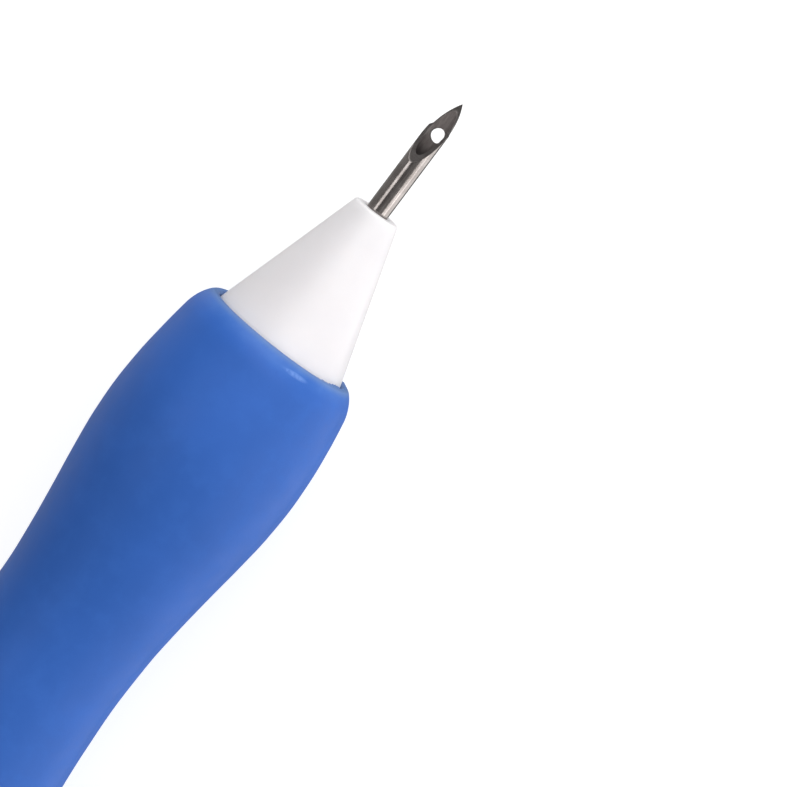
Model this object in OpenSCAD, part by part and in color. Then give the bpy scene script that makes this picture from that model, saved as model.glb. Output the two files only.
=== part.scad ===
// Adjustable hand punch needle for loop embroidery.
// The tool lies along X with the needle towards +X and its bevel facing +Z.
// Inside the modules, z runs forward along the tool from the mouth of the grip
// (z = 0), x points up and the angle about z is the right-hand angle about +X.

/* [Needle] */
// Outer diameter of the hollow needle
needle_d = 2.2; // [2:0.1:2.3]
// Wall thickness of the needle tube
needle_wall = 0.3; // [0.2:0.05:0.4]
// Length of tube in front of the hub
needle_front = 30; // [28:0.5:31]
// Length of tube behind the hub
needle_back = 2.9; // [2:0.1:3.5]
// Length of needle shown beyond the nose at the stored setting
needle_out = 12.3; // [11:0.1:12.5]
// Length of the ground bevel
bevel_len = 6.8; // [6:0.1:8]
// Length of the lancet point on the bevel
lancet_len = 3.4; // [3:0.1:4]
// Diameter of the thread eye in the lower wall
eye_d = 1.4; // [1:0.05:1.5]
// Distance from the point to the middle of the eye
eye_back = 3.6; // [3.4:0.1:4]

/* [Nose cone] */
// Length of the exposed cone
cone_len = 14.8; // [13:0.1:16]
// Radius of the cone's flat front face, outside its rounded edge
cone_r_front = 2.3; // [2:0.05:2.4]
// Radius of the cone at the mouth of the grip
cone_r_base = 6.8; // [6.4:0.05:6.85]
// Length of the spigot that plugs into the barrel
spigot_len = 7.9; // [6:0.1:7.9]
// Radius of the spigot
spigot_r = 5.15; // [5:0.01:5.17]

/* [Grip sleeve] */
// Radius of both bulbs of the grip
bulb_r = 9.9; // [9.6:0.1:11]
// Radius of the waist of the grip
waist_r = 7.9; // [7.8:0.1:8.4]
// Radius of the opening that the cone sits in
mouth_r = 6.95; // [6.95:0.05:7]

/* [Barrel] */
// Outer radius of the barrel under the grip
barrel_r = 7; // [6.6:0.05:7]
// Radius of the bore that the needle carrier slides in
bore_r = 4.2; // [4.15:0.01:4.3]
// Radius over the rounded corners of the six-sided collar that stops the tool from rolling
corner_r = 10.9; // [10.6:0.1:11.2]
// Radius of the neck that the dial turns on
neck_r = 5.6; // [5.5:0.05:5.65]

/* [Depth dial] */
// Number of depth settings
settings = 12; // [8:1:12]
// Setting at which the tool is stored
stored_setting = 9; // [9:1:12]
// Needle travel for one click
click_travel = 1; // [0.8:0.1:1]
// Radius of the numbered band
band_r = 8.4; // [8.2:0.1:8.6]
// Radius of the fluted band
flute_band_r = 8.7; // [8.6:0.1:9]
// Number of flutes on the dial
flutes = 24; // [12:2:30]

/* [Carrier and thread way] */
// Radius of the front part of the carrier
carrier_r = 4.05; // [4:0.01:4.1]
// Outer radius of the tail of the carrier
tail_r = 2.5; // [2.4:0.05:2.55]
// Radius of the hole through the thread eyelet
thread_r = 1.5; // [1.4:0.05:1.5]
// Length of tail that stands out of the end cap at the stored setting
tail_out = 6.5; // [5:0.5:10]

/* [Return spring] */
// Wire diameter of the return spring
wire_d = 0.5; // [0.4:0.05:0.55]
// Radius to the middle of the wire
coil_r = 3.35; // [3.3:0.05:3.4]
// Number of turns
turns = 9; // [7:1:10]

/* [Hidden] */
$fn = 96;
eps = 0.01;

white = [0.94, 0.94, 0.95];
natural = [0.88, 0.88, 0.85];
blue = [0.17, 0.36, 0.76];
steel = [0.55, 0.54, 0.53];

needle_r = needle_d / 2;
tip_z = cone_len + needle_out;
hub_front = tip_z - needle_front;
hub_taper = 10.4;
hub_collar = 7.5;
hub_spigot = 5.4;
shoulder_z = hub_front - hub_taper;
collar_back_z = shoulder_z - hub_collar;
hub_back = collar_back_z - hub_spigot;
lug_z = collar_back_z - 3.2;
lug_r = 2.3;
lug_turn = 60;

grip_len = 76;
barrel_front = -1.6;
web_front = -59;
web_back = -62;
barrel_back = -75.9;
collar_front = -76.05;
collar_back = -80;
dial_front = -80.6;
dial_back = -98.6;
neck_back = -98.8;
cap_front = -98.85;
bore_back = -103.5;
cap_back = -107;

lead = click_travel * 12;
first_pin = -84.1;
pin_z = first_pin - (12 - stored_setting) * click_travel;
last_pin = first_pin - (settings - 1) * click_travel;
pin_r = 0.9;
pocket_r = 1.3;
groove_r = 7.15;
block_half = 4;
tail_back = cap_back - tail_out;
eyelet_lip = 0.5;

x_shift = -(tip_z + tail_back - eyelet_lip) / 2;

// Places a module that is drawn along z on the tool's axis in the row frame.
module axial() {
    translate([x_shift, 0, bulb_r]) rotate([0, 90, 0]) rotate([0, 0, 180]) children();
}

// A turned solid from [radius, z] points.
module turned(points) { rotate_extrude() polygon(points); }

// A radial cylinder at an angle and a height, from radius a to radius b.
module spoke(angle, z, r, a, b) {
    rotate([0, 0, angle]) translate([a, 0, z]) rotate([0, 90, 0]) cylinder(r = r, h = b - a);
}

// Quarter ellipse in [radius, z], from angle a to angle b, about a centre.
function arc(cr, cz, sr, sz, a, b, n) =
    [for (i = [0:n]) let (t = a + (b - a) * i / n) [cr + sr * cos(t), cz + sz * sin(t)]];

// Smooth curve through hand-picked stations that never overshoots them.
function secant(s, i) = (s[i + 1][1] - s[i][1]) / (s[i + 1][0] - s[i][0]);
function slope(s, i) =
    i == 0 ? secant(s, 0) : i == len(s) - 1 ? secant(s, i - 1) :
    secant(s, i - 1) * secant(s, i) <= 0 ? 0 :
    2 * secant(s, i - 1) * secant(s, i) / (secant(s, i - 1) + secant(s, i));
function hermite(s, i, t) =
    let (h = s[i + 1][0] - s[i][0], a = s[i][1], b = s[i + 1][1])
    (2 * t * t * t - 3 * t * t + 1) * a + (t * t * t - 2 * t * t + t) * h * slope(s, i) +
    (3 * t * t - 2 * t * t * t) * b + (t * t * t - t * t) * h * slope(s, i + 1);

// Stations of the grip as [distance behind the mouth, radius].
grip_stations = [
    [2.2, bulb_r - 0.95], [5, bulb_r - 0.5], [8.5, bulb_r - 0.13], [11.7, bulb_r],
    [15, bulb_r - 0.13], [18.5, bulb_r - 0.5], [23, bulb_r - 1.1],
    [27, waist_r + 0.43], [31, waist_r + 0.1], [35.5, waist_r],
    [41, waist_r + 0.25], [48, waist_r + 0.9], [55, bulb_r - 0.35], [61.5, bulb_r],
    [67, bulb_r - 0.2], [72, bulb_r - 0.75], [74, bulb_r - 1.15]
];
grip_outer = [for (i = [0:len(grip_stations) - 2]) for (k = [0:3])
    let (t = k / 4, a = grip_stations[i][0], b = grip_stations[i + 1][0])
    [hermite(grip_stations, i, t), -(a + (b - a) * t)]];

// Soft sleeve with a bulb behind the fingertips, a waist and a rear bulb.
module grip_sleeve() {
    color(blue) axial() turned(concat(
        [[barrel_r + 0.05, barrel_front + 0.05], [mouth_r, barrel_front + 0.05]],
        arc(mouth_r + 0.4, -0.4, 0.4, 0.4, 180, 90, 6),
        arc(bulb_r - 2.15, -2.2, 1.2, 2.2, 90, 5, 9),
        grip_outer,
        arc(bulb_r - 2.55, -grip_len + 2, 1.4, 2, 0, -90, 8),
        [[barrel_r + 0.05, -grip_len]]));
}

// Rigid cone that guides the needle and stops on the cloth, with a hollow plug-in spigot.
module nose_cone() {
    slope_r = (cone_r_base - cone_r_front) / cone_len;
    color(white) axial() turned(concat(
        [[needle_r + 0.1, cone_len - 0.15], [needle_r + 0.25, cone_len]],
        arc(cone_r_front - 0.3, cone_len - 0.3, 0.3, 0.3, 90, 17, 5),
        [[cone_r_base - slope_r * 0.35, 0.35], [cone_r_base - 0.02, 0], [cone_r_base, -0.3],
         [cone_r_base, barrel_front + 0.1], [spigot_r, barrel_front + 0.1],
         [spigot_r, -5.4], [4.5, -5.4], [4.5, -6.3], [spigot_r, -6.3],
         [spigot_r, -spigot_len - 1.2], [spigot_r - 0.3, -spigot_len - 1.5],
         [3.9, -spigot_len - 1.5], [3.7, -spigot_len - 1.2], [3.7, 1],
         [needle_r + 0.6, cone_len - 4.6], [needle_r + 0.1, cone_len - 4]]));
}

// Rubber ring that holds the push-fit spigot in the barrel.
module nose_o_ring() {
    color([0.12, 0.12, 0.13]) axial() translate([0, 0, -5.85])
        rotate_extrude() translate([4.85, 0]) circle(r = 0.34);
}

// Hollow needle with a ground bevel, a lancet point and a thread eye in the lower wall.
module needle_tube() {
    bevel = atan(needle_d / bevel_len);
    // each side of the point is ground to an arc that runs out in a short shoulder
    half = needle_r - 0.2;
    side_r = (lancet_len * lancet_len + half * half) / half / 2;
    color(steel) axial() difference() {
        translate([0, 0, hub_back - needle_back])
            cylinder(r = needle_r, h = tip_z - hub_back + needle_back);
        translate([0, 0, hub_back - needle_back - 1])
            cylinder(r = needle_r - needle_wall, h = tip_z - hub_back + needle_back + 2);
        translate([-needle_r, 0, tip_z]) rotate([0, 90 - bevel, 0])
            translate([-3, -3, 0]) cube([bevel_len + 6, 6, 8]);
        for (side = [-1, 1]) translate([-2, 0, tip_z - lancet_len]) rotate([90, 0, 90])
            linear_extrude(height = 3) difference() {
                polygon([[0, lancet_len + 1], [0, 0.67], [side * (half - 0.1), 0.67],
                    [side * (needle_r + 0.02), 0.2], [side * 3, 0.2], [side * 3, lancet_len + 1]]);
                translate([side * (half - side_r), 0]) circle(r = side_r);
            }
        translate([-3, 0, tip_z - eye_back]) rotate([0, 90, 0]) cylinder(r = eye_d / 2, h = 3);
    }
}

// Moulded hub on the needle, with a tapered collar and two bayonet lugs.
module needle_hub() {
    color(white) axial() difference() {
        union() {
            turned([[needle_r - 0.3, hub_front], [needle_r + 0.25, hub_front],
                [needle_r + 0.4, hub_front - 0.15], [2.4, shoulder_z], [2.55, shoulder_z],
                [2.7, shoulder_z - 0.15], [2.35, collar_back_z + 0.15], [2.2, collar_back_z],
                [1.85, collar_back_z], [1.85, hub_back + 0.6], [1.5, hub_back],
                [needle_r - 0.3, hub_back]]);
            intersection() {
                translate([-0.6, -3, lug_z - 0.7]) cube([1.2, 6, 1.4]);
                translate([0, 0, lug_z - 1]) cylinder(r = lug_r, h = 2);
            }
        }
        translate([0, 0, hub_back - 1]) cylinder(r = needle_r, h = hub_front - hub_back + 2);
    }
}

// Sliding tube that holds the hub in a bayonet socket and carries the thread way to the tail.
module needle_carrier() {
    face = shoulder_z - 0.05;
    color(natural) axial() difference() {
        turned([[2.75, face], [carrier_r - 0.3, face], [carrier_r, face - 0.3],
            [carrier_r, -30.7], [carrier_r - 0.3, -31], [tail_r, -31], [tail_r, tail_back + 0.25],
            [tail_r - 0.25, tail_back], [thread_r + 0.4, tail_back], [thread_r + 0.4, tail_back + 4],
            [thread_r - 0.2, tail_back + 4], [thread_r - 0.2, hub_back - 0.4],
            [1.95, hub_back - 0.4], [1.95, collar_back_z - 0.05], [2.4, collar_back_z - 0.05]]);
        for (a = [90, 270]) {
            rotate([0, 0, a - 18]) translate([0, 0, lug_z - 1.05]) rotate_extrude(angle = lug_turn + 36)
                translate([1.7, 0]) square([0.8, 2.1]);
            rotate([0, 0, a + lug_turn]) translate([1.5, -0.75, lug_z])
                cube([1, 1.5, collar_back_z - lug_z]);
        }
        spoke(0, pin_z, pin_r, 1.85, 4);
    }
}

// Collar on the tail that the return spring bears on and the follower pin passes through.
module slide_block() {
    color(natural) axial() difference() {
        turned([[tail_r + 0.05, pin_z + block_half], [carrier_r - 0.3, pin_z + block_half],
            [carrier_r, pin_z + block_half - 0.3], [carrier_r, pin_z - block_half + 0.3],
            [carrier_r - 0.3, pin_z - block_half], [tail_r + 0.05, pin_z - block_half]]);
        spoke(0, pin_z, pin_r, 1, 6);
    }
}

// Steel pin that joins the block to the carrier and rides in the slot and the dial's cam groove.
module follower_pin() {
    color(steel) axial() rotate([0, 90, 0]) translate([-pin_z, 0, 1.85]) union() {
        cylinder(r = pin_r, h = 4.85);
        translate([0, 0, 4.85]) cylinder(r1 = pin_r, r2 = pin_r - 0.2, h = 0.2);
    }
}

// Compression spring with closed end turns, swept as rings along a helix.
spring_front = web_back - 0.05;
spring_len = spring_front - (pin_z + block_half + 0.05);
rings_per_turn = 22;
wire_sides = 8;
function spring_z(t) =
    let (active = spring_len - wire_d - 2 * wire_d * 1.05, n = turns - 2)
    wire_d / 2 + (t < 1 ? t * wire_d * 1.05 : t > turns - 1 ?
        wire_d * 1.05 + active + (t - turns + 1) * wire_d * 1.05 :
        wire_d * 1.05 + active * (t - 1) / n);
module return_spring() {
    n = turns * rings_per_turn;
    pts = [for (i = [0:n]) for (k = [0:wire_sides - 1])
        let (a = 360 * i / rings_per_turn, b = 360 * k / wire_sides, r = coil_r + wire_d / 2 * cos(b))
        [r * cos(a), r * sin(a), spring_front - spring_z(i / rings_per_turn) - wire_d / 2 * sin(b)]];
    walls = [for (i = [0:n - 1]) for (k = [0:wire_sides - 1])
        let (j = (k + 1) % wire_sides, p = i * wire_sides, q = p + wire_sides)
        each [[p + k, q + k, q + j], [p + k, q + j, p + j]]];
    caps = [[for (k = [0:wire_sides - 1]) k], [for (k = [0:wire_sides - 1]) n * wire_sides + wire_sides - 1 - k]];
    color(steel) axial() polyhedron(points = pts, faces = concat(walls, caps), convexity = 10);
}

// Front half of the barrel: seat for the nose, slide bore, spring web and rear socket.
module front_barrel() {
    color(white) axial() difference() {
        turned([[spigot_r + 0.25, barrel_front], [barrel_r - 0.2, barrel_front],
            [barrel_r, barrel_front - 0.2], [barrel_r, barrel_back + 0.3],
            [barrel_r - 0.3, barrel_back], [neck_r, barrel_back], [neck_r, web_back],
            [tail_r + 0.15, web_back], [tail_r + 0.15, web_front], [bore_r, web_front],
            [bore_r, -spigot_len - 1.9], [spigot_r + 0.05, -spigot_len - 1.7],
            [spigot_r + 0.05, barrel_front - 0.2]]);
        translate([neck_r - 1, -1.05, barrel_back - 1]) cube([3, 2.1, 4]);
    }
}

// Rear half of the barrel: keyed plug, six-sided collar with a sunk pointer, slotted neck and cap seat.
module rear_barrel() {
    slot_front = first_pin + 0.1;
    slot_back = last_pin - 0.1;
    color(white) axial() difference() {
        union() {
            turned([[bore_r, web_back - 0.3], [neck_r - 0.35, web_back - 0.3],
                [neck_r - 0.05, web_back - 0.6], [neck_r - 0.05, collar_front],
                [neck_r + 1, collar_front], [neck_r + 1, collar_back],
                [neck_r, collar_back], [neck_r, neck_back], [5, neck_back],
                [5, bore_back + 0.3], [4.7, bore_back], [bore_r, bore_back]]);
            translate([neck_r - 0.5, -0.95, barrel_back + 0.2]) cube([1.3, 1.9, 2.6]);
            translate([neck_r - 0.5, -0.95, collar_front - 1]) cube([1.3, 1.9, 1.5]);
            intersection() {
                translate([0, 0, collar_back]) rotate([0, 0, 30])
                    cylinder(r = bulb_r / cos(30), h = collar_front - collar_back, $fn = 6);
                turned([[neck_r, collar_front], [bulb_r - 0.3, collar_front],
                    [corner_r, collar_front - 0.8], [corner_r, collar_back + 0.8],
                    [bulb_r - 0.3, collar_back], [neck_r, collar_back]]);
            }
        }
        translate([bulb_r - 0.25, 0, 0]) rotate([0, 90, 0]) linear_extrude(height = 1)
            polygon([[-collar_back - 0.6, 0], [-collar_front + 0.9, 1.4], [-collar_front + 0.9, -1.4]]);
        spoke(0, slot_front, pin_r + 0.15, 1, 7);
        spoke(0, slot_back, pin_r + 0.15, 1, 7);
        translate([1, -pin_r - 0.15, slot_back]) cube([6, 2 * pin_r + 0.3, slot_front - slot_back]);
    }
}

// Stamped spring washer whose two ridges drop into the dial's notches.
module click_spring() {
    color(steel) axial() union() {
        difference() {
            translate([0, 0, collar_back - 0.3]) cylinder(r = 7.8, h = 0.3);
            translate([0, 0, collar_back - 1]) cylinder(r = neck_r + 0.1, h = 2);
        }
        for (a = [90, 270]) difference() {
            spoke(a, collar_back - 0.3, 0.65, 5.9, 7.7);
            spoke(a, collar_back - 0.3, 0.35, 5, 9);
            rotate([0, 0, a]) translate([5, -1, collar_back - 0.15]) cube([4, 2, 2]);
        }
    }
}

// Dial with a numbered band, a fluted band, click notches and a helical cam groove inside.
module depth_dial() {
    pockets = (settings - 1) * 2;
    front_angle = -(12 - stored_setting) * 30;
    color(white) axial() difference() {
        turned([[neck_r + 0.15, dial_front], [band_r - 0.3, dial_front], [band_r, dial_front - 0.3],
            [band_r, -87.4], [band_r - 0.25, -87.6], [band_r - 0.25, -88], [flute_band_r - 0.2, -88],
            [flute_band_r, -88.2], [flute_band_r, dial_back + 0.5], [flute_band_r - 0.5, dial_back],
            [neck_r + 0.15, dial_back]]);
        for (i = [0:flutes - 1]) rotate([0, 0, (i + 0.5) * 360 / flutes])
            translate([flute_band_r + 0.45, 0, dial_back - 1]) cylinder(r = 0.85, h = 10.1, $fn = 32);
        for (i = [0:11]) spoke(i * 30, collar_back - 0.3, 0.75, 5, 7.9);
        for (i = [0:pockets]) spoke(front_angle + i * 15, first_pin - i * click_travel / 2, pocket_r, 4.5, groove_r);
        rotate([0, 0, front_angle]) translate([4.5, -1.05, first_pin]) cube([groove_r - 4.5, 2.1, 6]);
    }
}

// Domed cap that keeps the dial on the neck and guides the tail.
module end_cap() {
    color(white) axial() turned(concat(
        [[5.05, cap_front], [8.1, cap_front], [8.3, cap_front - 0.2]],
        arc(4.2, cap_back + 4.5, 4.1, 4.5, 0, -90, 12),
        [[tail_r + 0.4, cap_back], [tail_r + 0.15, cap_back + 0.25],
         [tail_r + 0.15, bore_back - 0.1], [5.05, bore_back - 0.1]]));
}

// Flared metal eyelet that leads the thread into the tail.
module thread_eyelet() {
    color(steel) axial() turned(concat(
        [[thread_r, tail_back + 3.9], [thread_r + 0.37, tail_back + 3.9],
         [thread_r + 0.37, tail_back - 0.02], [tail_r - 0.2, tail_back - 0.02]],
        arc(tail_r - 0.2, tail_back - 0.26, 0.24, 0.24, 90, -90, 8),
        [[thread_r + 0.45, tail_back - 0.5], [thread_r + 0.12, tail_back - 0.4], [thread_r, tail_back - 0.1]]));
}

nose_cone();
nose_o_ring();
needle_tube();
needle_hub();
needle_carrier();
slide_block();
follower_pin();
return_spring();
front_barrel();
grip_sleeve();
rear_barrel();
click_spring();
depth_dial();
end_cap();
thread_eyelet();
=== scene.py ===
import math

import bmesh
import bpy
import numpy as np
from mathutils import Matrix, Vector


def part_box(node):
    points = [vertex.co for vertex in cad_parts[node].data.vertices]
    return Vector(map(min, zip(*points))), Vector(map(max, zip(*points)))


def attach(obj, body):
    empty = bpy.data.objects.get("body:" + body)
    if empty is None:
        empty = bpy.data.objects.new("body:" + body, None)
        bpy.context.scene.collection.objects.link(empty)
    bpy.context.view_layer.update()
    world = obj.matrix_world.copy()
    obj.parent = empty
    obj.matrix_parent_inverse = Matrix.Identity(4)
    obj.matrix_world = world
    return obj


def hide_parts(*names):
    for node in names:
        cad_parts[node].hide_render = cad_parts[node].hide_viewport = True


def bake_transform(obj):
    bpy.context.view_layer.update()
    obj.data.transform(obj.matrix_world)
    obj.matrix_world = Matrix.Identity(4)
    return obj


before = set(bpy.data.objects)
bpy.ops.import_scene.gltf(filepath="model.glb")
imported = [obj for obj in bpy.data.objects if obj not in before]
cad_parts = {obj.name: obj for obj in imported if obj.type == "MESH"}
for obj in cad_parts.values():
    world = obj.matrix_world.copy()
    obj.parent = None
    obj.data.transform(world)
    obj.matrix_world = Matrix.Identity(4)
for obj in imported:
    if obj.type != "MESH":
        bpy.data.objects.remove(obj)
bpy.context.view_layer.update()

# ------------------------------------------------------------------ frame
# w runs forward along the tool from the mouth of the grip, in millimetres; r is the radius and a the angle from straight up.
MM = 0.001
grip_lo, grip_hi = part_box("grip_sleeve")
needle_lo, needle_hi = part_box("needle_tube")
X0 = grip_hi.x
ZC = (grip_lo.z + grip_hi.z) / 2
TIP = (needle_hi.x - X0) / MM
NR = (needle_hi.z - needle_lo.z) / 2 / MM
TAU = 2 * math.pi


def pt(w, r, a):
    return (X0 + w * MM, -r * math.sin(a) * MM, ZC + r * math.cos(a) * MM)


# ------------------------------------------------------------------ mesh helpers
def finish_mesh(name, verts, faces, sharp=32.0, mats=None, face_mats=None):
    mesh = bpy.data.meshes.new(name)
    mesh.from_pydata([tuple(v) for v in verts], [], [tuple(f) for f in faces])
    bm = bmesh.new()
    bm.from_mesh(mesh)
    bmesh.ops.recalc_face_normals(bm, faces=bm.faces)
    bm.to_mesh(mesh)
    bm.free()
    if face_mats is not None:
        mesh.polygons.foreach_set("material_index", np.array(face_mats, np.int32))
    mesh.shade_smooth()
    mesh.set_sharp_from_angle(angle=math.radians(sharp))
    obj = bpy.data.objects.new(name, mesh)
    bpy.context.scene.collection.objects.link(obj)
    return obj


def seam(obj, sharp=32.0):
    """Marks the sharp edges again after a modifier has rebuilt the mesh."""
    obj.data.shade_smooth()
    obj.data.set_sharp_from_angle(angle=math.radians(sharp))
    return obj


def apply_modifiers(obj):
    dg = bpy.context.evaluated_depsgraph_get()
    done = bpy.data.meshes.new_from_object(obj.evaluated_get(dg), depsgraph=dg)
    old = obj.data
    obj.modifiers.clear()
    obj.data = done
    done.name = obj.name
    bpy.data.meshes.remove(old)
    return obj


def size_of(obj):
    """Volume of a closed mesh, in cubic millimetres."""
    bm = bmesh.new()
    bm.from_mesh(obj.data)
    volume = abs(bm.calc_volume()) / MM**3
    bm.free()
    return volume


def boolean(obj, cutter, operation="DIFFERENCE", keep=False):
    before, tool = size_of(obj), size_of(cutter)
    spare = obj.data.copy()
    for solver in ("MANIFOLD", "EXACT"):
        m = obj.modifiers.new("cut", "BOOLEAN")
        m.operation = operation
        m.solver = solver
        m.object = cutter
        apply_modifiers(obj)
        after = size_of(obj)
        low, high = (before, before + tool) if operation == "UNION" else (before - tool, before)
        if low * 0.999 - 0.01 <= after <= high * 1.001 + 0.01 and len(obj.data.vertices) > 8:
            break
        obj.data = spare.copy()
    else:
        raise RuntimeError(f"no solver could cut {obj.name} with {cutter.name}: {before:.2f} to {after:.2f} cubic mm")
    bpy.data.meshes.remove(spare)
    if not keep:
        bpy.data.objects.remove(cutter)
    return obj


def fillet(points, radius=0.08, special=None, n=4):
    """Rounds every corner of a closed profile; special gives some corners their own radius."""
    special = special or {}
    out = []
    count = len(points)
    for i in range(count):
        p = np.array(points[i], float)
        a = np.array(points[i - 1], float) - p
        b = np.array(points[(i + 1) % count], float) - p
        la, lb = np.linalg.norm(a), np.linalg.norm(b)
        rad = special.get(i, radius)
        ua, ub = a / la, b / lb
        cosine = float(np.clip(ua @ ub, -1, 1))
        inner = math.acos(cosine)
        if rad <= 0 or inner > math.radians(176):
            out.append(tuple(p))
            continue
        t = rad / math.tan(inner / 2)
        t = min(t, 0.45 * la, 0.45 * lb)
        rad = t * math.tan(inner / 2)
        centre = p + (ua + ub) / np.linalg.norm(ua + ub) * rad / math.sin(inner / 2)
        start, end = p + ua * t, p + ub * t
        s, e = start - centre, end - centre
        total = math.acos(float(np.clip(s @ e / (np.linalg.norm(s) * np.linalg.norm(e)), -1, 1)))
        sign = 1 if s[0] * e[1] - s[1] * e[0] > 0 else -1
        steps = max(2, int(math.ceil(n * total / (math.pi / 2))) + 1)
        for k in range(steps + 1):
            q = sign * total * k / steps
            out.append((centre[0] + s[0] * math.cos(q) - s[1] * math.sin(q), centre[1] + s[0] * math.sin(q) + s[1] * math.cos(q)))
    return out


def spread(points, longest=1.2):
    """Splits the long edges of a closed profile."""
    out = []
    for i, p in enumerate(points):
        q = points[(i + 1) % len(points)]
        d = math.hypot(q[0] - p[0], q[1] - p[1])
        n = max(1, int(math.ceil(d / longest)))
        out += [(p[0] + (q[0] - p[0]) * k / n, p[1] + (q[1] - p[1]) * k / n) for k in range(n)]
    return out


def lathe(name, profile, segments=128, shape=None, sharp=32.0, slide=None):
    """Turns a closed (w, r) profile about the tool's axis. shape(w, r, a) may change the radius at an angle."""
    verts, faces = [], []
    m = len(profile)
    for j in range(segments):
        a = TAU * j / segments
        for w, r in profile:
            verts.append(pt(slide(w, r, a) if slide else w, shape(w, r, a) if shape else r, a))
    for j in range(segments):
        k = (j + 1) % segments
        for i in range(m):
            h = (i + 1) % m
            faces.append((j * m + i, k * m + i, k * m + h, j * m + h))
    return finish_mesh(name, verts, faces, sharp)


def block(name, w0, w1, lo, hi, half, a=0.0, bevel=0.0):
    """A box from radius lo to hi, half wide each side, standing at angle a."""
    verts = []
    up = np.array([0, -math.sin(a), math.cos(a)])
    side = np.array([0, -math.cos(a), -math.sin(a)])
    base = np.array([X0, 0, ZC])
    for w in (w0, w1):
        for r in (lo, hi):
            for s in (-half, half):
                verts.append(base + np.array([w * MM, 0, 0]) + up * r * MM + side * s * MM)
    faces = [(0, 1, 3, 2), (4, 6, 7, 5), (0, 4, 5, 1), (2, 3, 7, 6), (0, 2, 6, 4), (1, 5, 7, 3)]
    obj = finish_mesh(name, verts, faces)
    if bevel:
        m = obj.modifiers.new("round", "BEVEL")
        m.width = bevel * MM
        m.segments = 3
        m.limit_method = "ANGLE"
        apply_modifiers(obj)
        seam(obj)
    return obj


def prism(name, outline, lo, hi):
    """A flat outline of (w, y) points in millimetres, from height lo to hi above the axis."""
    n = len(outline)
    verts = [(X0 + w * MM, y * MM, ZC + lo * MM) for w, y in outline] + [(X0 + w * MM, y * MM, ZC + hi * MM) for w, y in outline]
    faces = [tuple(range(n)), tuple(reversed(range(n, 2 * n)))] + [(i, (i + 1) % n, n + (i + 1) % n, n + i) for i in range(n)]
    return finish_mesh(name, verts, faces)


def soft_min(a, b, k):
    h = max(k - abs(a - b), 0.0) / k
    return min(a, b) - h * h * k / 4


def arc(cw, cr, sw, sr, a0, a1, n):
    return [(cw + sw * math.sin(math.radians(a0 + (a1 - a0) * i / n)), cr + sr * math.cos(math.radians(a0 + (a1 - a0) * i / n))) for i in range(n + 1)]


# ------------------------------------------------------------------ materials
def socket(node, name):
    return node.inputs[name]


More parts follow.
